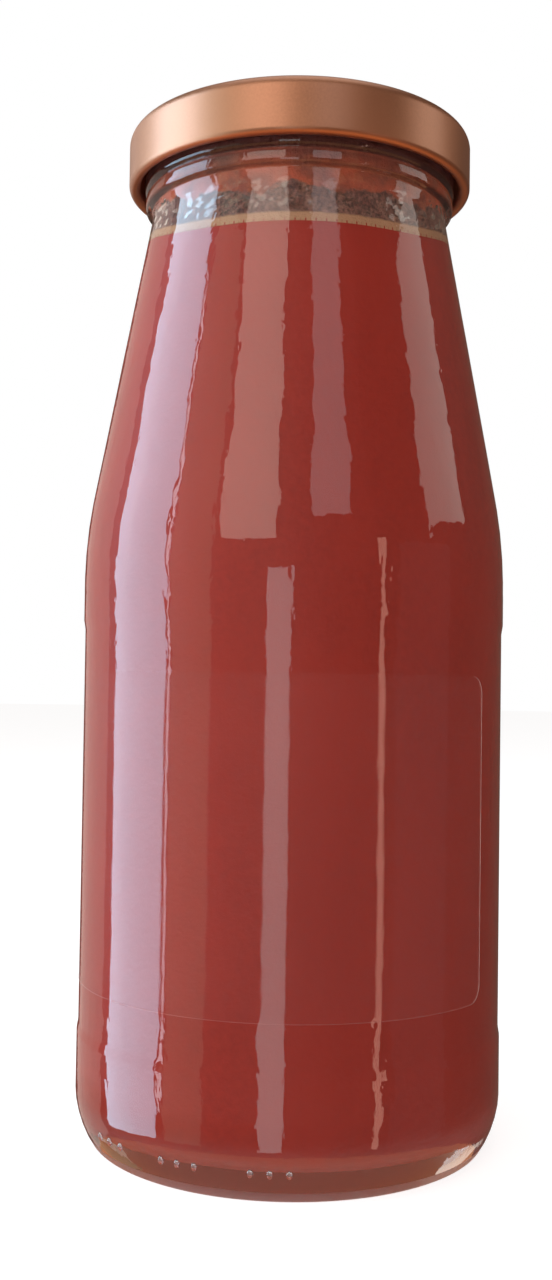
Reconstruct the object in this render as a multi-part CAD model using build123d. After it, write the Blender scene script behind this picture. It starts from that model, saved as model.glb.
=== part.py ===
"""Glass bottle of tomato passata with a twist-off lid and a clear film label.

Millimetres, +Z up along the bottle's axis. The origin is the centre of the circle that the bottle
stands on. The front is towards -Y.
"""

import math
import os

from build123d import *

# ---- Bottle: side ----------------------------------------------------------------------------
BODY_RADIUS = 37.0  # the bands above and below the label panel
LOWER_BAND = 18.6  # height of the lower band's upper edge
PANEL_HEIGHT = 70.7  # from band to band
UPPER_BAND = 13.9  # from the panel to where straight side and straight taper would meet
TAPER_HEIGHT = 57.2
NECK_RADIUS = 26.3  # the narrowest place, under the beads
PANEL_DEPTH = 0.25  # how far the label panel lies under the bands
LEDGE_SLOPE = 3.2  # height over which the panel runs out into a band
LEDGE_ROUNDING = 2.0  # at the band's edge
LEDGE_BLEND = 6.0  # where the slope runs into the panel
SHOULDER_RADIUS = 70.0  # rounding between side and taper
NECK_BLEND_RADIUS = 5.0  # where the taper turns into the plain neck

# ---- Bottle: foot ----------------------------------------------------------------------------
HEEL_INSET = 3.0  # how far the foot's outer corner lies inside the body's radius
HEEL_ANGLE = 36.0  # slope of the heel at the foot, from the vertical
HEEL_RADIUS = 14.0
FOOT_ROUNDING = 1.0
FOOT_RING_WIDTH = 2.4
PUSH_UP = 3.2  # rise of the base under the middle

# ---- Bottle: beads and mouth -----------------------------------------------------------------
NECK_HEIGHT = 1.8  # plain neck between the end of the taper and the lower bead
FINISH_STEP = 0.6  # how far the mouth's wall stands out from the plain neck
FINISH_HEIGHT = 6.3  # wall above the upper bead
FINISH_WALL = 3.0
LOWER_BEAD_STEP = 0.6  # how far a bead stands out from the mouth's wall
LOWER_BEAD_HEIGHT = 2.9
UPPER_BEAD_STEP = 0.8
UPPER_BEAD_HEIGHT = 3.4
BEAD_FLANK = 0.8  # height of a bead's flank for each millimetre that it stands out
BEAD_ROUNDING = 0.7
GROOVE_ROUNDING = 0.2
LIP_ROUNDING = 0.9

# ---- Bottle: inside --------------------------------------------------------------------------
WALL = 2.6
BASE_THICKNESS = 4.6  # glass at the rim of the floor
FLOOR_CROWN = 2.4  # rise of the floor in the middle
INNER_HEEL_RADIUS = 12.0
BORE_BLEND_RADIUS = 6.0

# ---- Thread lugs on the mouth, and the lid's lugs that hold under them ------------------------
LUG_COUNT = 4
THREAD_STEP = 1.4  # how far a thread lug stands out from the mouth's wall
THREAD_HEIGHT = 1.6
THREAD_ARC = 58.0
THREAD_LIFT = 2.0  # from the top of the upper bead to the underside of a thread lug
LID_LUG_ARC = 16.0
LUG_CLEARANCE = 0.3

# ---- Bumps moulded on the heel -----------------------------------------------------------------
BUMP_RADIUS = 0.7  # half its height on the bottle
BUMP_WIDTH = 1.0
BUMP_STEP = 0.35  # how far it stands out
BUMP_Z = 5.0
BUMP_PITCH = 4.7  # degrees
BUMPS_IN_GROUP = 3
BUMP_GROUP_PITCH = 23.5  # degrees
BUMP_GROUPS = 3
BUMP_FIRST_ANGLE = -56.0  # degrees from the front, minus to the left

# ---- Contents ----------------------------------------------------------------------------------
HEADSPACE = 20.8  # from the level up to the mouth
FILL_CLEARANCE = 0.05

# ---- Lid ---------------------------------------------------------------------------------------
LID_HEIGHT = 9.7
LID_SHEET = 0.35
LID_EDGE_ROUNDING = 2.0
LID_CURL = 2.0  # thickness of the rolled lower edge
LID_CURL_ROUNDING = 0.9
LID_CLEARANCE = 0.2  # from the thread lugs to the rolled edge
LID_PANEL_DEPTH = 0.6  # how far the middle of the top is pressed in
LID_PANEL_RUN = 1.4  # width of the slope down to it
LID_PANEL_BEND = 0.9  # roundings at the top and the foot of that slope

# ---- Film label --------------------------------------------------------------------------------
LABEL_MARGIN = 8.95  # bare panel above and below
LABEL_FILM = 0.1
LABEL_CLEARANCE = 0.02
LABEL_CORNER_RADIUS = 3.0
LABEL_EDGE_ANGLE = 56.8  # the edge at the right, degrees from the front
LABEL_ARC = 320.0

# ---- Worked out from the above -----------------------------------------------------------------
FRONT = -90.0  # polar angle of the front
PANEL_RADIUS = BODY_RADIUS - PANEL_DEPTH
UPPER_BAND_Z = LOWER_BAND + PANEL_HEIGHT
SHOULDER_Z = UPPER_BAND_Z + UPPER_BAND
NECK_Z = SHOULDER_Z + TAPER_HEIGHT
TAPER_SLOPE = (BODY_RADIUS - NECK_RADIUS) / TAPER_HEIGHT
TAPER_ANGLE = math.atan(TAPER_SLOPE)
FOOT_RADIUS = BODY_RADIUS - HEEL_INSET
HEEL_Z = HEEL_INSET / math.tan(math.radians(HEEL_ANGLE))
FINISH_RADIUS = NECK_RADIUS + FINISH_STEP
BORE_RADIUS = FINISH_RADIUS - FINISH_WALL
LOWER_BEAD_Z = NECK_Z + NECK_HEIGHT
UPPER_BEAD_Z = LOWER_BEAD_Z + LOWER_BEAD_HEIGHT
FINISH_Z = UPPER_BEAD_Z + UPPER_BEAD_HEIGHT
MOUTH_Z = FINISH_Z + FINISH_HEIGHT
FILL_Z = MOUTH_Z - HEADSPACE
THREAD_RADIUS = FINISH_RADIUS + THREAD_STEP
THREAD_Z = FINISH_Z + THREAD_LIFT
LID_RADIUS = THREAD_RADIUS + LID_CLEARANCE + LID_CURL
LID_TOP_Z = MOUTH_Z + LID_PANEL_DEPTH + LID_SHEET
LID_BOTTOM_Z = LID_TOP_Z - LID_HEIGHT
LABEL_BOTTOM = LOWER_BAND + LABEL_MARGIN
LABEL_TOP = UPPER_BAND_Z - LABEL_MARGIN


def turned(corners, radii):
    """A solid of revolution about Z from the corners of its half section, each with its rounding."""
    outline = FilletPolyline(*corners, radius=radii, close=True)
    return revolve(Plane.XZ * make_face(outline), Axis.Z)


def ring_piece(inner, outer, bottom, top, middle_angle, arc):
    """A stretch of a square ring, centred on a direction given from the front."""
    centre = Pos((inner + outer) / 2, (bottom + top) / 2)
    section = Plane.XZ * centre * Rectangle(outer - inner, top - bottom)
    return Rot(0, 0, FRONT + middle_angle - arc / 2) * revolve(section, Axis.Z, arc)


def dome(rise, half_width, top):
    """The ball whose top lies at a height and that has dropped by the rise at a half width."""
    radius = (half_width**2 + rise**2) / (2 * rise)
    return Pos(0, 0, top - radius) * Sphere(radius)


def bead_corners(bottom, height, step):
    """The two corners at the crest of a bead, whose flanks run in to the mouth's wall."""
    radius = FINISH_RADIUS + step
    flank = step * BEAD_FLANK
    return [(radius, bottom + flank), (radius, bottom + height - flank)]


def outside():
    """The bottle as if it were solid, without its push-up."""
    corners = [
        (0, 0),
        (FOOT_RADIUS, 0),
        (BODY_RADIUS, HEEL_Z),
        (BODY_RADIUS, LOWER_BAND),
        (PANEL_RADIUS, LOWER_BAND + LEDGE_SLOPE),
        (PANEL_RADIUS, UPPER_BAND_Z - LEDGE_SLOPE),
        (BODY_RADIUS, UPPER_BAND_Z),
        (BODY_RADIUS, SHOULDER_Z),
        (NECK_RADIUS, NECK_Z),
        (NECK_RADIUS, LOWER_BEAD_Z),
        *bead_corners(LOWER_BEAD_Z, LOWER_BEAD_HEIGHT, LOWER_BEAD_STEP),
        (FINISH_RADIUS, UPPER_BEAD_Z),
        *bead_corners(UPPER_BEAD_Z, UPPER_BEAD_HEIGHT, UPPER_BEAD_STEP),
        (FINISH_RADIUS, FINISH_Z),
        (FINISH_RADIUS, MOUTH_Z),
        (0, MOUTH_Z),
    ]
    foot = [0, FOOT_ROUNDING, HEEL_RADIUS]
    ledges = [LEDGE_ROUNDING, LEDGE_BLEND, LEDGE_BLEND, LEDGE_ROUNDING]
    neck = [SHOULDER_RADIUS, NECK_BLEND_RADIUS, GROOVE_ROUNDING]
    beads = [BEAD_ROUNDING, BEAD_ROUNDING, GROOVE_ROUNDING, BEAD_ROUNDING, BEAD_ROUNDING, GROOVE_ROUNDING]
    return turned(corners, [*foot, *ledges, *neck, *beads, LIP_ROUNDING, 0])


def inside(clearance, top):
    """What fills the bottle up to a height, clear of the glass by a distance."""
    wall = WALL + clearance
    side = BODY_RADIUS - wall
    bore = BORE_RADIUS - clearance
    shoulder_z = SHOULDER_Z - wall * math.tan(TAPER_ANGLE / 2)
    bore_z = shoulder_z + (side - bore) / TAPER_SLOPE
    floor_z = BASE_THICKNESS + clearance
    corners = [(0, floor_z), (side, floor_z), (side, shoulder_z)]
    radii = [0, INNER_HEEL_RADIUS, SHOULDER_RADIUS - wall]
    if top > bore_z + BORE_BLEND_RADIUS:
        corners += [(bore, bore_z), (bore, top), (0, top)]
        radii += [BORE_BLEND_RADIUS, 0, 0]
    else:
        corners += [(side - (top - shoulder_z) * TAPER_SLOPE, top), (0, top)]
        radii += [0, 0]
    return turned(corners, radii) - dome(FLOOR_CROWN, side - INNER_HEEL_RADIUS, floor_z + FLOOR_CROWN)


def thread_lugs():
    """The short raised stretches of thread round the mouth, sunk into half its wall."""
    root = FINISH_RADIUS - FINISH_WALL / 2
    for number in range(LUG_COUNT):
        angle = number * 360 / LUG_COUNT
        yield ring_piece(root, THREAD_RADIUS, THREAD_Z, THREAD_Z + THREAD_HEIGHT, angle, THREAD_ARC)


def heel_bumps():
    """Groups of small bumps low on the heel, each a flattened ball half sunk in the glass."""
    heel_middle = BODY_RADIUS - HEEL_RADIUS
    heel_top = HEEL_Z + HEEL_RADIUS * math.tan(math.radians(HEEL_ANGLE / 2))
    drop = math.asin((heel_top - BUMP_Z) / HEEL_RADIUS)
    distance = heel_middle + HEEL_RADIUS * math.cos(drop)
    ball = scale(Sphere(BUMP_RADIUS), (BUMP_STEP / BUMP_RADIUS, BUMP_WIDTH / BUMP_RADIUS / 2, 1))
    ball = Pos(distance, 0, BUMP_Z) * Rot(0, math.degrees(drop), 0) * ball
    for group in range(BUMP_GROUPS):
        for number in range(BUMPS_IN_GROUP):
            angle = BUMP_FIRST_ANGLE + group * BUMP_GROUP_PITCH + number * BUMP_PITCH
            yield Rot(0, 0, FRONT + angle) * ball


def glass():
    """The bottle, with its beads, thread lugs, heel bumps and push-up."""
    body = outside()
    for piece in (*thread_lugs(), *heel_bumps()):
        body += piece
    body -= dome(PUSH_UP, FOOT_RADIUS - FOOT_RING_WIDTH, PUSH_UP)
    return body - inside(0, MOUTH_Z + FINISH_WALL)


def passata():
    """The sauce, up to its level."""
    return inside(FILL_CLEARANCE, FILL_Z)


def lid_sheet():
    """The lid's sheet: pressed-in middle, rounded edge and straight skirt."""
    skirt_inner = LID_RADIUS - LID_SHEET
    panel_radius = FINISH_RADIUS - LID_PANEL_RUN
    skirt_end = LID_BOTTOM_Z + LID_CURL / 2
    corners = [
        (0, LID_TOP_Z - LID_PANEL_DEPTH),
        (panel_radius, LID_TOP_Z - LID_PANEL_DEPTH),
        (FINISH_RADIUS, LID_TOP_Z),
        (LID_RADIUS, LID_TOP_Z),
        (LID_RADIUS, skirt_end),
        (skirt_inner, skirt_end),
        (skirt_inner, LID_TOP_Z - LID_SHEET),
        (FINISH_RADIUS, LID_TOP_Z - LID_SHEET),
        (panel_radius, MOUTH_Z),
        (0, MOUTH_Z),
    ]
    bends = [LID_PANEL_BEND, LID_PANEL_BEND]
    outer = [0, *bends, LID_EDGE_ROUNDING, 0]
    inner = [0, LID_EDGE_ROUNDING - LID_SHEET, *bends, 0]
    return turned(corners, [*outer, *inner])


def lid_curl():
    """The lid's rolled lower edge."""
    inner = LID_RADIUS - LID_CURL
    top = LID_BOTTOM_Z + LID_CURL
    corners = [(inner, LID_BOTTOM_Z), (LID_RADIUS, LID_BOTTOM_Z), (LID_RADIUS, top), (inner, top)]
    return turned(corners, [LID_CURL_ROUNDING, LID_CURL_ROUNDING, 0, LID_CURL_ROUNDING])


def lid():
    """The pressed lid, with the lugs that reach in between upper bead and thread lugs."""
    body = lid_sheet() + lid_curl()
    lug_inner = FINISH_RADIUS + LUG_CLEARANCE
    lug_outer = LID_RADIUS - LID_SHEET / 2
    lug_bottom = FINISH_Z + LUG_CLEARANCE
    lug_top = THREAD_Z - LUG_CLEARANCE
    for number in range(LUG_COUNT):
        angle = number * 360 / LUG_COUNT
        body += ring_piece(lug_inner, lug_outer, lug_bottom, lug_top, angle, LID_LUG_ARC)
    return body


def corner_trim(angle, height, side, up):
    """What rounds one corner of the film: a square prism along the radius, less a round bar.

    The corner lies at an angle from the front and at a height. The film runs away from it towards
    the side, -1 for lower angles and +1 for higher ones, and up or down.
    """
    radius = LABEL_CORNER_RADIUS
    block = Pos(PANEL_RADIUS, side * radius / 2, up * radius / 2) * Box(radius, radius, radius)
    bar = Pos(PANEL_RADIUS, side * radius, up * radius) * Rot(0, 90, 0) * Cylinder(radius, 2 * radius)
    return Pos(0, 0, height) * Rot(0, 0, FRONT + angle) * (block - bar)


def label_film():
    """The clear film round the label panel, open on the right, with rounded corners."""
    inner = PANEL_RADIUS + LABEL_CLEARANCE
    middle_angle = LABEL_EDGE_ANGLE - LABEL_ARC / 2
    film = ring_piece(inner, inner + LABEL_FILM, LABEL_BOTTOM, LABEL_TOP, middle_angle, LABEL_ARC)
    for angle, side in ((LABEL_EDGE_ANGLE, -1), (LABEL_EDGE_ANGLE - LABEL_ARC, 1)):
        film -= corner_trim(angle, LABEL_BOTTOM, side, 1)
        film -= corner_trim(angle, LABEL_TOP, side, -1)
    return film


PIECES = {"glass": glass, "passata": passata, "lid": lid, "label_film": label_film}

os.makedirs("parts", exist_ok=True)
for name, make in PIECES.items():
    export_step(make(), f"parts/{name}.step")
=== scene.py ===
"""Bottle of tomato passata: looks of the glass, the sauce, its dried rim, the lid and the film label."""

import math

import bmesh
import bpy
from bpy.props import FloatProperty, FloatVectorProperty, PointerProperty
from mathutils import Euler, Matrix, Vector, noise


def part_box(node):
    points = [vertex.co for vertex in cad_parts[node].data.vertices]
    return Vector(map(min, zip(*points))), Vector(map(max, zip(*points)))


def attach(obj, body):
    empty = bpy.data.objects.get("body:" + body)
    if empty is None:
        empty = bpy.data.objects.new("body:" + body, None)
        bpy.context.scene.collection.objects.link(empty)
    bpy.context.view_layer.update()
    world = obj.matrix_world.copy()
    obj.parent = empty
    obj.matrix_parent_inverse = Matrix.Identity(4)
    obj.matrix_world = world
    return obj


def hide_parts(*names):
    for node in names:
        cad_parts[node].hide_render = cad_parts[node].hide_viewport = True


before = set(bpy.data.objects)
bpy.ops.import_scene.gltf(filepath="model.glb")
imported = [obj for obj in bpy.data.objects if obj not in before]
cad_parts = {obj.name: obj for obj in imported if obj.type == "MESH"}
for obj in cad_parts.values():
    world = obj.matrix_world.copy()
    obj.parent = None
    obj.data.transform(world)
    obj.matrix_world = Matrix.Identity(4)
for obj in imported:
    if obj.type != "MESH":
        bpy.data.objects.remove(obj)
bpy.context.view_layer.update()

bl_info = {
    "name": "Passata Bottle",
    "version": (1, 0, 0),
    "blender": (4, 5, 0),
    "location": "View3D > Sidebar > Passata",
    "description": "Builds a bottle of tomato passata round its packed frame",
    "category": "Object",
}

# ---- Places and sizes taken from the frame, in metres ------------------------------------------
MM = 0.001
GLASS_HIGH = Vector(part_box("glass")[1])
SAUCE_HIGH = Vector(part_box("passata")[1])
LID_LOW, LID_HIGH = (Vector(corner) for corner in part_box("lid"))
FILM_LOW, FILM_HIGH = (Vector(corner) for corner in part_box("label_film"))
BODY_RADIUS = GLASS_HIGH.x
MOUTH_Z = GLASS_HIGH.z
LEVEL_Z = SAUCE_HIGH.z
LID_RADIUS = LID_HIGH.x
FRONT = -math.pi / 2
FULL_TURN = 2 * math.pi
AROUND = 288  # steps round the glass and the residue
SHOULDER_BEND = 70.0 * MM
INNER_SHOULDER_BEND = 67.0 * MM
INNER_HEEL_BEND = 9.0 * MM
NECK_HEIGHT = 1.8 * MM
LOWER_BEAD_HEIGHT = 2.9 * MM
UPPER_BEAD_HEIGHT = 3.4 * MM
BUMP_GROUPS = 3
BUMPS_IN_GROUP = 3
BUMP_START = -56.0  # degrees from the front
BUMP_PITCH = 4.7
BUMP_GROUP_PITCH = 23.5
FILM_STRIPS = 180
LIGHT_DISTANCE = 0.70


def length(label, text, default):
    """A size in metres that a user may change."""
    return FloatProperty(name=label, description=text, default=default, min=0.0, precision=5, unit="LENGTH")


def angle(label, text, default):
    """An angle that a user may change, given here in degrees."""
    return FloatProperty(name=label, description=text, default=math.radians(default), unit="ROTATION")


def colour(label, text, default):
    """A linear colour that a user may change."""
    return FloatVectorProperty(name=label, description=text, default=default, size=3, subtype="COLOR",
                               min=0.0, max=1.0)


class PassataSizes(bpy.types.PropertyGroup):
    """Sizes of the bottle that its frame doesn't give."""

    lower_band: length("Lower band", "Height of the lower band's upper edge", 18.6 * MM)
    upper_band: length("Upper band", "Height of the upper band's lower edge", 89.3 * MM)
    ledge: length("Ledge", "Height over which the label panel runs out into a band", 1.5 * MM)
    panel_depth: length("Panel depth", "How far the label panel lies under the bands", 0.25 * MM)
    shoulder: length("Shoulder", "Height where straight side and straight taper would meet", 103.2 * MM)
    neck: length("Neck", "Height of the top of the taper", 160.4 * MM)
    neck_radius: length("Neck radius", "Radius of the narrowest place", 26.3 * MM)
    finish_radius: length("Finish radius", "Radius of the wall of the mouth", 26.9 * MM)
    bore_radius: length("Bore radius", "Inner radius of the neck", 23.9 * MM)
    wall: length("Wall", "Thickness of the glass", 2.6 * MM)
    base: length("Base", "Thickness of the glass at the rim of the floor", 3.6 * MM)
    crown: length("Crown", "Rise of the floor inside", 2.4 * MM)
    push_up: length("Push-up", "Rise of the base under the middle", 3.2 * MM)
    reach: length("Reach", "How far the contents reach into the glass", 0.15 * MM)
    wave: length("Wave", "Height of the unevenness of the glass", 0.045 * MM)
    level_rise: length("Level rise", "How much higher the sauce stands at the sides", 3.2 * MM)
    label_edge: angle("Label edge", "The film's right edge, from the front", 56.8)
    label_arc: angle("Label arc", "How far the film runs round", 320.0)
    label_corner: length("Label corner", "Radius of the film's corners", 3.0 * MM)


class PassataColours(bpy.types.PropertyGroup):
    """Colours of the pieces."""

    sauce: colour("Sauce", "Cooked tomato", (0.315, 0.0165, 0.0058))
    sauce_dark: colour("Sauce, dark", "Deeper places in the tomato", (0.26, 0.0120, 0.0041))
    rim_line: colour("Rim line", "Pale line at the level", (0.42, 0.22, 0.11))
    crumbs: colour("Crumbs", "Dried sauce on the glass", (0.155, 0.051, 0.035))
    crumbs_pale: colour("Crumbs, pale", "Dry edges of the crumbs", (0.32, 0.165, 0.112))
    smear: colour("Smear", "Thin sauce above the crumbs", (0.44, 0.070, 0.022))
    lid_gold: colour("Lid", "Gold lacquer", (0.45, 0.205, 0.108))
    crumb_gap_shade: colour("Crumb gaps", "Dark gaps between the crumbs", (0.055, 0.022, 0.016))
    # Painted shade: the dark colour stands for the shade in the gaps between the crumbs.
    smear_dark: colour("Smear, dark", "Browned places in the smears", (0.23, 0.048, 0.022))
    smear_pale: colour("Smear, pale", "Dry streaks in the smears", (0.40, 0.11, 0.045))
    # Partly painted shadow: dark red sauce in the mouth, darkened further to stand for the lid's shade.
    sauce_in_lid_shadow: colour("Under the lid", "Dark sauce in the mouth", (0.10, 0.014, 0.008))
    floor: colour("Floor", "Pale floor", (0.38, 0.375, 0.37))


# ---- Mesh helpers ------------------------------------------------------------------------------
def finish_piece(bm, name, slot, *materials, smooth=True):
    """Makes an object of the mesh, riding on the body, with the materials given; the slot is not used."""
    mesh = bpy.data.meshes.new(name)
    bm.to_mesh(mesh)
    bm.free()
    if smooth:
        mesh.shade_smooth()
    else:
        mesh.shade_flat()
    piece = bpy.data.objects.new(name, mesh)
    bpy.context.scene.collection.objects.link(piece)
    for material in materials:
        mesh.materials.append(material)
    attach(piece, "root")
    return piece


def half_section(bm, corners, pitch):
    """An open chain of edges in the XZ plane from corners (radius, height, rounding), cut to a pitch."""
    verts = [bm.verts.new((radius, 0, height)) for radius, height, _ in corners]
    for start, end in zip(verts, verts[1:]):
        bm.edges.new((start, end))
    for number in range(1, len(verts) - 1):
        if corners[number][2]:
            round_corner(bm, verts[number], corners, number)
    cut_edges(bm, list(bm.edges), pitch)


def cut_edges(bm, edges, pitch):
    """Divides edges into pieces no longer than a pitch."""
    for edge in edges:
        cuts = int(edge.calc_length() / pitch)
        if cuts:
            bmesh.ops.subdivide_edges(bm, edges=[edge], cuts=cuts)


def round_corner(bm, vert, corners, number):
    """Rounds one corner of a half section to its radius."""
    here = Vector((corners[number][0], 0, corners[number][1]))
    back = Vector((corners[number - 1][0], 0, corners[number - 1][1])) - here
    ahead = Vector((corners[number + 1][0], 0, corners[number + 1][1])) - here
    turn = math.pi - back.angle(ahead)
    reach = corners[number][2] * math.tan(turn / 2)
    steps = max(3, min(16, int(turn / math.radians(7))))
    bmesh.ops.bevel(bm, geom=[vert], offset=reach, offset_type="OFFSET", affect="VERTICES",
                    segments=steps, profile=0.5, material=-1)


def turn_section(bm, steps):
    """Spins a half section into a closed skin with its faces outwards."""
    bmesh.ops.spin(bm, geom=bm.verts[:] + bm.edges[:], axis=(0, 0, 1), cent=(0, 0, 0),
                   angle=FULL_TURN, steps=steps, use_merge=True)
    bmesh.ops.remove_doubles(bm, verts=bm.verts, dist=1e-6)
    bmesh.ops.recalc_face_normals(bm, faces=bm.faces)


def side_factor(point):
    """How near a point is to the two sides: 0 at the front and the back, 1 at the sides."""
    flat = math.hypot(point.x, point.y)
    return (point.x / flat) ** 6 if flat > MM else 0.0


def inner_radius(sizes, height):
    """Radius of the inner wall in the taper and the neck."""
    slope = (BODY_RADIUS - sizes.neck_radius) / (sizes.neck - sizes.shoulder)
    taper = BODY_RADIUS - sizes.wall - (height - sizes.shoulder) * slope
    return max(sizes.bore_radius, taper)


# ---- Material helpers --------------------------------------------------------------------------
class Nodes:
    """A new material whose nodes are added and linked with few words."""

    def __init__(self, name):
        self.material = bpy.data.materials.new(name)
        self.material.use_nodes = True
        self.tree = self.material.node_tree
        self.tree.nodes.clear()
        self.out = self.tree.nodes.new("ShaderNodeOutputMaterial")

    def add(self, kind, **inputs):
        """Adds a node and fills its inputs, which go by name, or by number as i0, i1 and so on.

        A value that is a socket is linked and any other is set; set_ before a key sets the node itself.
        """
        node = self.tree.nodes.new("ShaderNode" + kind)
        for key, value in inputs.items():
            if key.startswith("set_"):
                setattr(node, key[4:], value)
                continue
            by_number = key[0] == "i" and key[1:].isdigit()
            socket = node.inputs[int(key[1:]) if by_number else key.replace("_", " ")]
            if isinstance(value, bpy.types.NodeSocket):
                self.tree.links.new(value, socket)
            else:
                socket.default_value = value
        return node

    def surface(self, socket):
        """Puts a shader on the surface and gives the finished material."""
        self.tree.links.new(socket, self.out.inputs["Surface"])
        return self.material

    def object_coordinates(self, stretch=(1, 1, 1)):
        """Places on the object, stretched along its axes."""
        coordinates = self.add("TexCoord").outputs["Object"]
        return self.add("Mapping", Vector=coordinates, Scale=stretch).outputs["Vector"]

    def noise(self, vector, scale, detail=3.0, roughness=0.5):
        """Noise that is finer with a higher scale."""
        node = self.add("TexNoise", Vector=vector, Scale=scale, Detail=detail, Roughness=roughness)
        return node.outputs["Fac"]

    def ramp(self, factor, low, high):
        """Maps a stretch of a factor to 0..1."""
        return self.add("MapRange", Value=factor, From_Min=low, From_Max=high).outputs["Result"]

    def multiply_add(self, value, times, plus):
        """value * times + plus"""
        return self.add("Math", set_operation="MULTIPLY_ADD", i0=value, i1=times, i2=plus).outputs[0]

    def blend(self, factor, first, second):
        """A mix of two shaders."""
        return self.add("MixShader", i0=factor, i1=first.outputs[0], i2=second.outputs[0]).outputs[0]

    def mix(self, factor, first, second):
        """A mix of two colours, each a socket or three numbers."""
        node = self.add("Mix", set_data_type="RGBA")
        for index, value in ((0, factor), (6, first), (7, second)):
            if isinstance(value, bpy.types.NodeSocket):
                self.tree.links.new(value, node.inputs[index])
            else:
                node.inputs[index].default_value = value if index == 0 else (*value, 1)
        return node.outputs[2]

    def bump(self, height, strength, distance):
        """A normal from a height."""
        return self.add("Bump", Height=height, Strength=strength, Distance=distance).outputs["Normal"]


def glass_material(name, roughness, wave):
    """Clear glass with a faint orange peel, which lets light through to what is inside."""
    make = Nodes(name)
    long_waves = make.noise(make.object_coordinates((1, 1, 0.45)), 150.0, 2.0)
    fine = make.noise(make.object_coordinates((1, 1, 0.6)), 520.0, 2.0)
    normal = make.bump(make.multiply_add(fine, 0.25, long_waves), 1.0, wave)
    glass = make.add("BsdfGlass", Color=(0.985, 0.99, 0.98, 1), Roughness=roughness, IOR=1.5, Normal=normal)
    clear = make.add("BsdfTransparent", Color=(0.95, 0.95, 0.94, 1))
    shadow = make.add("LightPath").outputs["Is Shadow Ray"]
    return make.surface(make.blend(shadow, glass, clear))


def sauce_material(colours):
    """Cooked tomato: thick, wet and faintly pulpy."""
    make = Nodes("tomato_passata")
    broad = make.noise(make.object_coordinates((1, 1, 0.4)), 55.0, 4.0, 0.6)
    pulp = make.noise(make.object_coordinates(), 900.0, 3.0, 0.6)
    base = make.mix(make.ramp(broad, 0.35, 0.65), colours.sauce_dark, colours.sauce)
    base = make.mix(make.ramp(pulp, 0.3, 0.8), base, colours.sauce)
    sauce = make.add("BsdfPrincipled", Base_Color=base, Roughness=0.45, IOR=1.35,
                     Subsurface_Weight=0.35, Subsurface_Radius=(1.0, 0.25, 0.1), Subsurface_Scale=0.0012,
                     Normal=make.bump(pulp, 0.3, 0.0002))
    return make.surface(sauce.outputs[0])


def residue_material(colours):
    """Dried crumbs over the level, thin smears above them and a pale line where the sauce begins, with
    painted shade in the gaps between the crumbs and a painted shadow of the lid over the dark sauce in the
    mouth.
    """
    make = Nodes("dried_sauce_and_shade")
    height = make.add("Attribute", set_attribute_name="height").outputs["Fac"]
    place = make.object_coordinates()
    broad = make.noise(place, 130.0, 4.0, 0.6)
    ragged = make.noise(place, 420.0, 5.0, 0.7)
    fine = make.noise(place, 1500.0, 4.0, 0.7)
    crumbs = make.mix(make.ramp(ragged, 0.4, 0.72), colours.crumbs, colours.crumbs_pale)
    # Painted shade: fine noise lays dark specks for the shade in the gaps between the crumbs.
    crumbs = make.mix(make.ramp(fine, 0.35, 0.6), colours.crumb_gap_shade, crumbs)
    smears = make.mix(make.ramp(broad, 0.42, 0.6), colours.smear, colours.smear_dark)
    smears = make.mix(make.ramp(ragged, 0.5, 0.75), smears, colours.smear_pale)
    # Where the crumbs end, the height is made uneven in broad and in ragged steps.
    uneven = make.multiply_add(broad, 8.5 * MM, -4.2 * MM)
    jagged = make.multiply_add(ragged, 2.4 * MM, uneven)
    edge = make.add("Math", set_operation="ADD", i0=height, i1=jagged).outputs[0]
    shade = make.mix(make.ramp(edge, 6.4 * MM, 7.0 * MM), crumbs, smears)
    # Painted shadow: the top of the residue turns dark towards the lid, for the lid's shade over the dark
    # sauce.
    shade = make.mix(make.ramp(height, 9.5 * MM, 12.5 * MM), shade, colours.sauce_in_lid_shadow)
    wobble = make.multiply_add(ragged, 0.7 * MM, height)
    shade = make.mix(make.ramp(wobble, 1.3 * MM, 0.9 * MM), shade, colours.rim_line)
    residue = make.add("BsdfPrincipled", Base_Color=shade, Roughness=0.6,
                       Normal=make.bump(ragged, 0.8, 0.8 * MM))
    return make.surface(residue.outputs[0])


def lid_material(colours):
    """Satin gold lacquer over tinplate."""
    make = Nodes("gold_lacquer")
    place = make.object_coordinates()
    speckle = make.noise(place, 2600.0, 2.0)
    broad = make.noise(place, 60.0, 3.0)
    base = make.mix(make.ramp(speckle, 0.3, 0.7), colours.lid_gold, [c * 0.86 for c in colours.lid_gold])
    base = make.mix(make.ramp(broad, 0.3, 0.7), base, [c * 1.06 for c in colours.lid_gold])
    satin = make.add("MapRange", Value=broad, From_Min=0.3, From_Max=0.7, To_Min=0.44, To_Max=0.50)
    rough = satin.outputs["Result"]
    lacquer = make.add("BsdfPrincipled", Base_Color=base, Metallic=1.0, Roughness=rough,
                       Coat_Weight=0.6, Coat_Roughness=0.3, Normal=make.bump(speckle, 0.25, 0.00004))
    return make.surface(lacquer.outputs[0])


def film_material(name, veil, tint):
    """Clear film: almost unseen, with a faint pale veil."""
    make = Nodes(name)
    scuffs = make.noise(make.object_coordinates((1, 1, 0.3)), 700.0, 4.0, 0.7)
    cover = make.add("MapRange", Value=scuffs, From_Min=0.3, From_Max=0.8,
                     To_Min=veil * 0.6, To_Max=veil * 1.5)
    clear = make.add("BsdfTransparent", Color=(1, 1, 1, 1))
    pale = make.add("BsdfPrincipled", Base_Color=(*tint, 1), Roughness=0.3)
    return make.surface(make.blend(cover.outputs["Result"], clear, pale))


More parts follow.
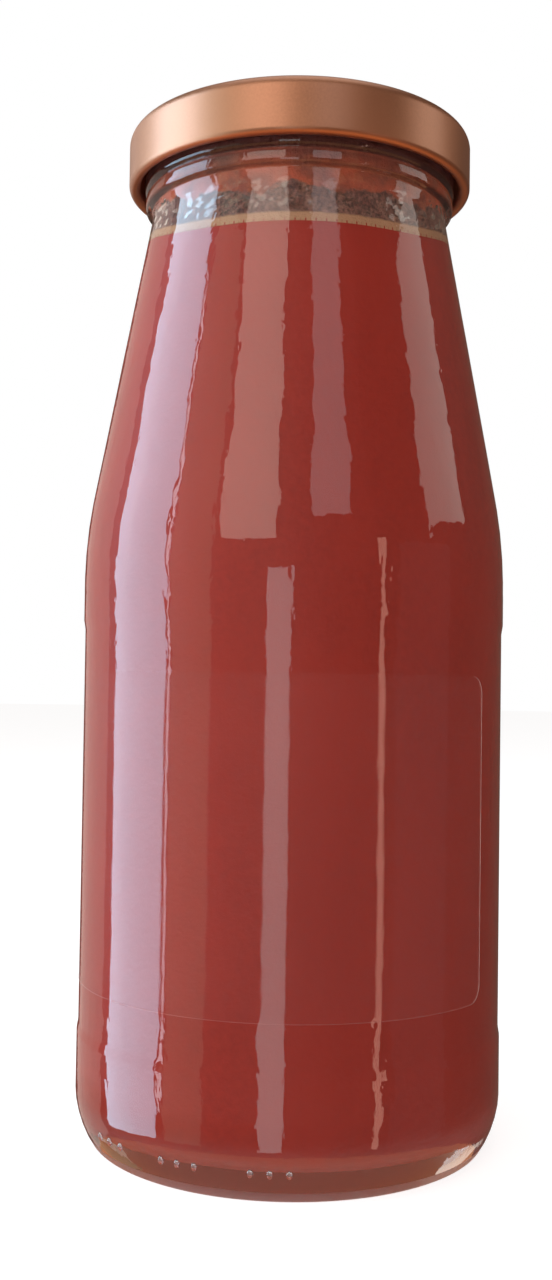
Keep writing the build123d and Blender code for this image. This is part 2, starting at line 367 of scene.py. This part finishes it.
# ---- Pieces ------------------------------------------------------------------------------------
def bottle_section(sizes):
    """Corners of the glass in half section, from under the base round the mouth to the floor."""
    panel = BODY_RADIUS - sizes.panel_depth
    side = BODY_RADIUS - sizes.wall
    finish = sizes.finish_radius
    heel_inset = 3.0 * MM
    heel_z = heel_inset / math.tan(math.radians(36))
    foot = BODY_RADIUS - heel_inset
    foot_ring = 2.4 * MM
    slope = (BODY_RADIUS - sizes.neck_radius) / (sizes.neck - sizes.shoulder)
    bore_z = sizes.shoulder + (side - sizes.bore_radius) / slope
    bead = sizes.neck + NECK_HEIGHT
    groove = bead + LOWER_BEAD_HEIGHT
    bead_top = groove + UPPER_BEAD_HEIGHT
    lower_crest = finish + 0.6 * MM
    upper_crest = finish + 0.8 * MM
    crest_bend = 0.7 * MM
    groove_bend = 0.2 * MM
    ledge_bend = 0.9 * MM
    panel_bend = 2.4 * MM
    outside = [
        (0, sizes.push_up, 0),
        (foot / 2, sizes.push_up * 0.76, 80.0 * MM),
        (foot - foot_ring, 0, 0.5 * MM),
        (foot, 0, 1.0 * MM),
        (BODY_RADIUS, heel_z, 13.9 * MM),
        (BODY_RADIUS, sizes.lower_band, ledge_bend),
        (panel, sizes.lower_band + sizes.ledge, panel_bend),
        (panel, sizes.upper_band - sizes.ledge, panel_bend),
        (BODY_RADIUS, sizes.upper_band, ledge_bend),
        (BODY_RADIUS, sizes.shoulder, SHOULDER_BEND),
        (sizes.neck_radius, sizes.neck, 5.0 * MM),
        (sizes.neck_radius, bead, groove_bend),
        (lower_crest, bead + 0.5 * MM, crest_bend),
        (lower_crest, groove - 0.5 * MM, crest_bend),
        (finish, groove, groove_bend),
        (upper_crest, groove + 0.6 * MM, crest_bend),
        (upper_crest, bead_top - 0.6 * MM, crest_bend),
        (finish, bead_top, groove_bend),
        (finish, MOUTH_Z, 0.9 * MM),
    ]
    inner = [
        (sizes.bore_radius, MOUTH_Z, 0.3 * MM),
        (sizes.bore_radius, bore_z, 6.0 * MM),
        (side, sizes.shoulder, INNER_SHOULDER_BEND),
        (side, sizes.base, INNER_HEEL_BEND),
        (0, sizes.base + sizes.crown, 0),
    ]
    return outside + inner


def ripple(point, amount):
    """How far the glass stands out at a place: long upright waves with a little unevenness."""
    waves = noise.noise(Vector((point.x * 90, point.y * 90, point.z * 38)))
    small = noise.noise(Vector((point.x * 260, point.y * 260, point.z * 120)) + Vector((7, 3, 1)))
    return amount * (waves + 0.35 * small)


def under_film(point, sizes):
    """Whether a place on the outside of the glass lies under the film label."""
    if not FILM_LOW.z < point.z < FILM_HIGH.z or math.hypot(point.x, point.y) < BODY_RADIUS - MM:
        return False
    from_edge = (sizes.label_edge - (math.atan2(point.y, point.x) - FRONT)) % FULL_TURN
    return from_edge < sizes.label_arc


class PassataGlass(bpy.types.Operator):
    """Build the wavy glass bottle"""

    bl_idname = "passata.glass"
    bl_label = "Glass"

    def execute(self, context):
        sizes = context.scene.passata_sizes
        bm = bmesh.new()
        inner_pitch, outer_pitch = 4.0 * MM, 1.2 * MM
        half_section(bm, bottle_section(sizes), inner_pitch)
        cut_edges(bm, [edge for edge in bm.edges if self.on_outside(sizes, edge)], outer_pitch)
        turn_section(bm, AROUND)
        self.unevenness(sizes, bm)
        for face in bm.faces:
            middle = face.calc_center_median()
            face.material_index = 1 if under_film(middle, sizes) else 0
            if middle.z < sizes.push_up and face.normal.z < -0.5:
                face.material_index = 2
        clear = glass_material("clear_glass", 0.0, 0.00012)
        covered = glass_material("glass_under_film", 0.06, 0.00004)
        stippled = glass_material("glass_underside", 0.45, 0.00004)
        piece = finish_piece(bm, "glass_bottle", "clear_glass", clear, covered, stippled)
        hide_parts("glass")
        self.bumps(clear)
        return {"FINISHED"}

    def on_outside(self, sizes, edge):
        """Whether an edge of the half section lies on the outside of the glass."""
        middle = (edge.verts[0].co + edge.verts[1].co) / 2
        return middle.x > inner_radius(sizes, middle.z) + MM

    def unevenness(self, sizes, bm):
        """Waves in the outside of the glass, which fade out towards the foot."""
        fade_height = 12 * MM
        for vert in bm.verts:
            flat = math.hypot(vert.co.x, vert.co.y)
            outside = flat > max(BODY_RADIUS * 0.6, inner_radius(sizes, vert.co.z) + MM)
            if outside and vert.co.z < sizes.neck:
                fade = min(1.0, vert.co.z / fade_height)
                vert.co += Vector((vert.co.x, vert.co.y, 0)) / flat * ripple(vert.co, sizes.wave) * fade

    def bumps(self, material):
        """Groups of small moulded bumps low on the heel."""
        bm = bmesh.new()
        height = 5.0 * MM
        radius = BODY_RADIUS - 0.55 * MM  # so far in that only the bump's face stands out
        for group in range(BUMP_GROUPS):
            for number in range(BUMPS_IN_GROUP):
                turn = FRONT + math.radians(BUMP_START + BUMP_GROUP_PITCH * group + BUMP_PITCH * number)
                place = Matrix.Rotation(turn, 4, "Z") @ Matrix.Translation((radius, 0, height))
                shape = Matrix.Rotation(math.radians(15), 4, "Y") @ Matrix.Diagonal((0.5, 0.7, 1, 1))
                bmesh.ops.create_icosphere(bm, subdivisions=3, radius=0.7 * MM, matrix=place @ shape)
        finish_piece(bm, "heel_bumps", "clear_glass", material)


class PassataSauce(bpy.types.Operator):
    """Build the sauce and the dried residue above its level"""

    bl_idname = "passata.sauce"
    bl_label = "Sauce"

    def execute(self, context):
        sizes = context.scene.passata_sizes
        colours = context.scene.passata_colours
        side = BODY_RADIUS - sizes.wall + sizes.reach
        bm = bmesh.new()
        rim = inner_radius(sizes, LEVEL_Z) + sizes.reach
        half_section(bm, [
            (0, sizes.base + sizes.crown - sizes.reach, 0),
            (side, sizes.base - sizes.reach, INNER_HEEL_BEND),
            (side, sizes.shoulder, INNER_SHOULDER_BEND),
            (rim, LEVEL_Z, 0.4 * MM),
            (0, LEVEL_Z - 0.6 * MM, 0),
        ], 2.0 * MM)
        turn_section(bm, 192)
        lifted = 12 * MM
        for vert in bm.verts:
            if vert.co.z > LEVEL_Z - lifted:
                near = 1 - (LEVEL_Z - vert.co.z) / lifted
                self.lift(sizes, vert, sizes.level_rise * side_factor(vert.co) * max(0.0, near))
        sauce = finish_piece(bm, "passata_sauce", "passata", sauce_material(colours))
        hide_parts("passata")
        self.residue(sizes, colours)
        return {"FINISHED"}

    def lift(self, sizes, vert, rise):
        """Raises a point and draws it in as the taper does."""
        before = inner_radius(sizes, vert.co.z)
        after = inner_radius(sizes, vert.co.z + rise)
        vert.co.x *= after / before
        vert.co.y *= after / before
        vert.co.z += rise

    def residue(self, sizes, colours):
        """A thin skin of dried sauce on the wall, from just under the level to the mouth."""
        bottom = LEVEL_Z - 0.8 * MM
        top = MOUTH_Z - 1.5 * MM
        thickness = 1.2 * MM
        crumbs_low, crumbs_high = 0.9 * MM, 7.0 * MM
        gap_depth = 0.7 * MM
        rows = 64
        bm = bmesh.new()
        outer = []
        for row in range(rows + 1):
            height = bottom + (top - bottom) * row / rows
            outer.append((inner_radius(sizes, height) + sizes.reach, height, 0))
        inner = [(radius - thickness, height, 0) for radius, height, _ in (outer[-1], outer[0])]
        half_section(bm, [*outer, *inner], 3.0 * MM)
        ends = sorted((v for v in bm.verts if len(v.link_edges) == 1), key=lambda v: v.co.x)
        bm.edges.new(ends)
        turn_section(bm, AROUND)
        layer = bm.verts.layers.float.new("height")
        for vert in bm.verts:
            vert[layer] = vert.co.z - LEVEL_Z
        for vert in bm.verts:
            height = vert[layer]
            rise = sizes.level_rise * side_factor(vert.co) * (1 - max(0.0, height) / (top - LEVEL_Z))
            pit = noise.noise(vert.co * 650) + 0.6 * noise.noise(vert.co * 1400)
            self.lift(sizes, vert, rise)
            if crumbs_low < height < crumbs_high and pit > 0.1:
                flat = Vector((vert.co.x, vert.co.y, 0)).normalized()
                vert.co -= flat * min(0.75, (pit - 0.1) * 1.6) * gap_depth
        finish_piece(bm, "dried_residue", "passata", residue_material(colours))


class PassataLid(bpy.types.Operator):
    """Build the gold twist-off lid"""

    bl_idname = "passata.lid"
    bl_label = "Lid"

    def execute(self, context):
        sizes = context.scene.passata_sizes
        sheet = 0.35 * MM
        top = LID_HIGH.z
        bottom = LID_LOW.z
        panel = sizes.finish_radius - 1.4 * MM
        sunk = 0.6 * MM
        curl = 2.0 * MM
        curl_bend = 0.95 * MM
        panel_bend = 0.9 * MM
        bm = bmesh.new()
        half_section(bm, [
            (0, top - sunk, 0),
            (panel, top - sunk, panel_bend),
            (sizes.finish_radius, top, panel_bend),
            (LID_RADIUS, top, 2.0 * MM),
            (LID_RADIUS, bottom, curl_bend),
            (LID_RADIUS - curl, bottom, curl_bend),
            (LID_RADIUS - curl, bottom + curl, 0.9 * MM),
            (LID_RADIUS - sheet, bottom + curl, 0.2 * MM),
            (LID_RADIUS - sheet, top - sheet, 1.6 * MM),
            (sizes.finish_radius, top - sheet, panel_bend),
            (panel, top - sunk - sheet, panel_bend),
            (0, top - sunk - sheet, 0),
        ], 1.5 * MM)
        turn_section(bm, 256)
        lid = finish_piece(bm, "twist_off_lid", "gold_lid", lid_material(context.scene.passata_colours))
        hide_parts("lid")
        return {"FINISHED"}


class PassataFilm(bpy.types.Operator):
    """Build the clear film label"""

    bl_idname = "passata.film"
    bl_label = "Film label"

    def execute(self, context):
        sizes = context.scene.passata_sizes
        thickness = 0.08 * MM
        radius = BODY_RADIUS - sizes.panel_depth + 0.07 * MM  # just clear of the wavy glass
        run = sizes.label_arc * radius
        bm = bmesh.new()
        low, high = FILM_LOW.z, FILM_HIGH.z
        corners = [bm.verts.new(co) for co in ((0, 0, low), (run, 0, low), (run, 0, high), (0, 0, high))]
        bm.faces.new(corners)
        bmesh.ops.bevel(bm, geom=corners, offset=sizes.label_corner, offset_type="OFFSET",
                        affect="VERTICES", segments=10, profile=0.5, material=-1)
        for number in range(1, FILM_STRIPS):
            bmesh.ops.bisect_plane(bm, geom=bm.verts[:] + bm.edges[:] + bm.faces[:],
                                   plane_co=(run * number / FILM_STRIPS, 0, 0), plane_no=(1, 0, 0))
        made = bmesh.ops.extrude_face_region(bm, geom=bm.faces[:])
        moved = [item for item in made["geom"] if isinstance(item, bmesh.types.BMVert)]
        bmesh.ops.translate(bm, verts=moved, vec=(0, thickness, 0))
        for face in bm.faces:
            face.material_index = 0 if abs(face.normal.y) > 0.5 else 1
        for vert in bm.verts:
            turn = FRONT + sizes.label_edge - vert.co.x / radius
            out = radius + vert.co.y
            vert.co = Vector((math.cos(turn) * out, math.sin(turn) * out, vert.co.z))
        bmesh.ops.recalc_face_normals(bm, faces=bm.faces)
        film = finish_piece(bm, "film_label", "clear_film",
                            film_material("clear_film", 0.004, (0.75, 0.66, 0.66)),
                            film_material("film_edge", 0.5, (0.8, 0.6, 0.55)), smooth=False)
        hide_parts("label_film")
        return {"FINISHED"}


# ---- Stage -------------------------------------------------------------------------------------
class PassataStage(bpy.types.Operator):
    """Build the floor, the soft lights and the camera"""

    bl_idname = "passata.stage"
    bl_label = "Stage"

    def execute(self, context):
        scene = context.scene
        scene.view_settings.view_transform = "Standard"
        self.floor(scene)
        self.world(scene)
        for light in STUDIO_LIGHTS:
            self.panel(scene, *light)
        for light in LEVEL_LIGHTS:
            self.sheet(scene, *light)
        self.camera(scene)
        return {"FINISHED"}

    def floor(self, scene):
        """A wide pale floor, bright enough to fade into the surround."""
        bm = bmesh.new()
        bmesh.ops.create_circle(bm, cap_ends=True, segments=96, radius=4.0)
        mesh = bpy.data.meshes.new("floor")
        bm.to_mesh(mesh)
        bm.free()
        floor = bpy.data.objects.new("floor", mesh)
        scene.collection.objects.link(floor)
        make = Nodes("pale_floor")
        grain = make.noise(make.object_coordinates(), 40.0, 4.0)
        pale = scene.passata_colours.floor
        base = make.mix(make.ramp(grain, 0.3, 0.7), pale, [c * 0.97 for c in pale])
        matt = make.add("BsdfDiffuse", Color=base).outputs[0]
        glow = make.add("Emission", Color=(1, 1, 1, 1), Strength=0.78).outputs[0]
        mesh.materials.append(make.surface(make.add("AddShader", i0=matt, i1=glow).outputs[0]))
        floor.visible_glossy = False

    def world(self, scene):
        """A white surround for the eye, with a dimmer room in the reflections."""
        world = bpy.data.worlds.new("studio")
        scene.world = world
        world.use_nodes = True
        tree = world.node_tree
        tree.nodes.clear()
        path = tree.nodes.new("ShaderNodeLightPath")
        seen = tree.nodes.new("ShaderNodeMix")
        seen.data_type = "RGBA"
        mirrored = tree.nodes.new("ShaderNodeMix")
        mirrored.data_type = "RGBA"
        tree.links.new(path.outputs["Is Glossy Ray"], mirrored.inputs[0])
        room_light = (0.50, 0.47, 0.46, 1)
        room_mirrored = (0.13, 0.085, 0.065, 1)
        mirrored.inputs[6].default_value = room_light
        mirrored.inputs[7].default_value = room_mirrored
        tree.links.new(path.outputs["Is Camera Ray"], seen.inputs[0])
        tree.links.new(mirrored.outputs[2], seen.inputs[6])
        seen.inputs[7].default_value = (1, 1, 1, 1)
        back = tree.nodes.new("ShaderNodeBackground")
        tree.links.new(seen.outputs[2], back.inputs["Color"])
        out = tree.nodes.new("ShaderNodeOutputWorld")
        tree.links.new(back.outputs[0], out.inputs["Surface"])

    def panel(self, scene, name, start, end, low, high, radiance, tint):
        """An upright soft light that fills a stretch of directions round the bottle."""
        middle = FRONT + math.radians((start + end) / 2)
        width = 2 * LIGHT_DISTANCE * math.tan(math.radians(abs(end - start) / 2))
        data = bpy.data.lights.new(name, "AREA")
        data.shape = "RECTANGLE"
        data.size = width
        data.size_y = high - low
        data.energy = radiance * math.pi * width * (high - low)
        data.color = tint
        light = bpy.data.objects.new(name, data)
        light.location = (LIGHT_DISTANCE * math.cos(middle), LIGHT_DISTANCE * math.sin(middle),
                          (low + high) / 2)
        light.rotation_euler = (math.pi / 2, 0, middle + math.pi / 2)
        light.visible_camera = False
        scene.collection.objects.link(light)

    def sheet(self, scene, name, height, size, radiance, tint, turn):
        """A level, round soft light over or under the bottle."""
        data = bpy.data.lights.new(name, "AREA")
        data.shape = "DISK"
        data.size = size
        data.energy = radiance * math.pi * math.pi * size * size / 4
        data.color = tint
        light = bpy.data.objects.new(name, data)
        light.location = (0, 0, height)
        light.rotation_euler = (turn, 0, 0)
        light.visible_camera = False
        light.visible_transmission = False
        scene.collection.objects.link(light)

    def camera(self, scene):
        """The view from the front, a little below the middle and tipped up."""
        data = bpy.data.cameras.new("camera")
        data.sensor_width = 36.0
        data.lens = 38.0
        camera = bpy.data.objects.new("camera", data)
        scene.collection.objects.link(camera)
        place = (-0.0023, -0.2415, 0.0790)
        pitch, roll, turn = 0.031, 0.0145, 0.003
        aim = Euler((math.pi / 2 + pitch, 0, turn)).to_matrix() @ Matrix.Rotation(roll, 3, "Z")
        camera.matrix_world = Matrix.Translation(place) @ aim.to_4x4()
        scene.camera = camera


# name, from and to direction (degrees round from the front), low end, high end, radiance, tint
STUDIO_LIGHTS = [
    ("window_left", -108, -70, -0.30, 0.75, 6.6, (0.56, 0.78, 1.0)),
    ("gap_left", -68.5, -67, -0.2, 0.6, 5.5, (0.9, 0.9, 1.0)),
    ("wall_left", -66, -43, -0.30, 0.70, 0.55, (0.75, 1.0, 0.75)),
    ("wall_back_left", -155, -115, -0.4, 0.8, 0.6, (1.0, 0.85, 0.78)),
    ("veil_left", -40, -9, 0.26, 0.80, 2.8, (1.0, 0.86, 0.77)),
    ("veil_middle", 9, 30, 0.33, 0.80, 1.5, (1.0, 0.96, 1.0)),
    ("card_middle", -14, -2, -0.30, 0.17, 2.5, (0.93, 0.97, 1.0)),
    ("strip_right", 44.5, 48, -0.3, 0.27, 4.0, (1.0, 0.55, 0.42)),
    ("window_right", 76, 104, 0.28, 0.62, 1.7, (1.0, 0.94, 0.87)),
    ("wall_right", 54, 88, -0.30, 0.25, 0.12, (0.9, 0.75, 0.8)),
]


# name, height, width, radiance, tint, turn that faces it to the bottle
LEVEL_LIGHTS = [
    ("ceiling", 1.5, 1.4, 1.1, (1.0, 0.97, 0.95), 0),
    ("table_glow", -0.42, 1.5, 0.9, (1.0, 0.42, 0.16), math.pi),
]


class PassataPanel(bpy.types.Panel):
    """Lists the pieces and their settings"""

    bl_idname = "VIEW3D_PT_passata"
    bl_label = "Passata bottle"
    bl_space_type = "VIEW_3D"
    bl_region_type = "UI"
    bl_category = "Passata"

    def draw(self, context):
        for operator in OPERATORS:
            self.layout.operator(operator.bl_idname)
        for group in (context.scene.passata_sizes, context.scene.passata_colours):
            for key in group.__annotations__:
                self.layout.prop(group, key)


OPERATORS = (PassataGlass, PassataSauce, PassataLid, PassataFilm, PassataStage)
CLASSES = (PassataSizes, PassataColours, *OPERATORS, PassataPanel)


def register():
    for cls in CLASSES:
        bpy.utils.register_class(cls)
    bpy.types.Scene.passata_sizes = PointerProperty(type=PassataSizes)
    bpy.types.Scene.passata_colours = PointerProperty(type=PassataColours)


def unregister():
    del bpy.types.Scene.passata_colours
    del bpy.types.Scene.passata_sizes
    for cls in reversed(CLASSES):
        bpy.utils.unregister_class(cls)


def main():
    """Registers the add-on and builds every piece."""
    register()
    bpy.ops.passata.glass()
    bpy.ops.passata.sauce()
    bpy.ops.passata.lid()
    bpy.ops.passata.film()
    bpy.ops.passata.stage()


if __name__ == "__main__":
    main()
